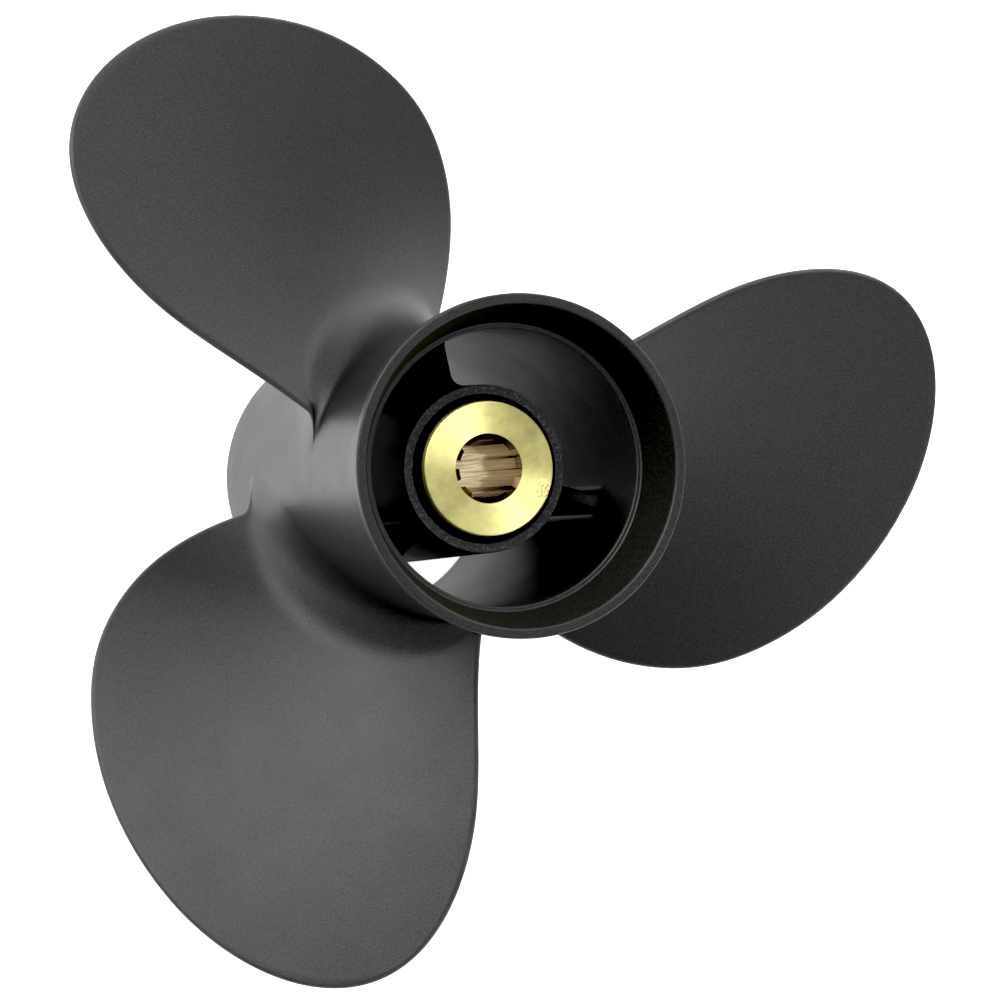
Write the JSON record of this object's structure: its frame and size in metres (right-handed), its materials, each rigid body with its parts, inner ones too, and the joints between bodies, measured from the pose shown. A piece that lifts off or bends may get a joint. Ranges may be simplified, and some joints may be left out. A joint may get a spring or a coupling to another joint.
{
  "type": "outboard boat propeller",
  "caption": "Painted cast propeller with broad raked blades, a flared barrel hub that the exhaust passes through, and a rubber-mounted splined brass sleeve.",
  "frame": {"origin": "on the shaft axis, in the plane of the barrel's front rim", "axes": "+Z aft along the shaft axis, towards the flared end; the propeller stands on its front rim; blade_1 points 118.4 degrees round from +X"},
  "size_m": [0.2205, 0.2313, 0.132],
  "materials": {
    "painted_casting": "satin black paint over die-cast aluminium",
    "thin_paint": "matte",
    "rubber": "matte",
    "brass": "polished"
  },
  "bodies": {
    "root": {"barrel": "painted_casting", "diffuser_ring": "painted_casting", "bush_housing": "thin_paint", "rubber_bush": "rubber", "splined_sleeve": "brass", "blade_1": "painted_casting", "rib_1": "painted_casting", "blade_2": "painted_casting", "rib_2": "painted_casting", "blade_3": "painted_casting", "rib_3": "painted_casting"}
  },
  "joints": []
}
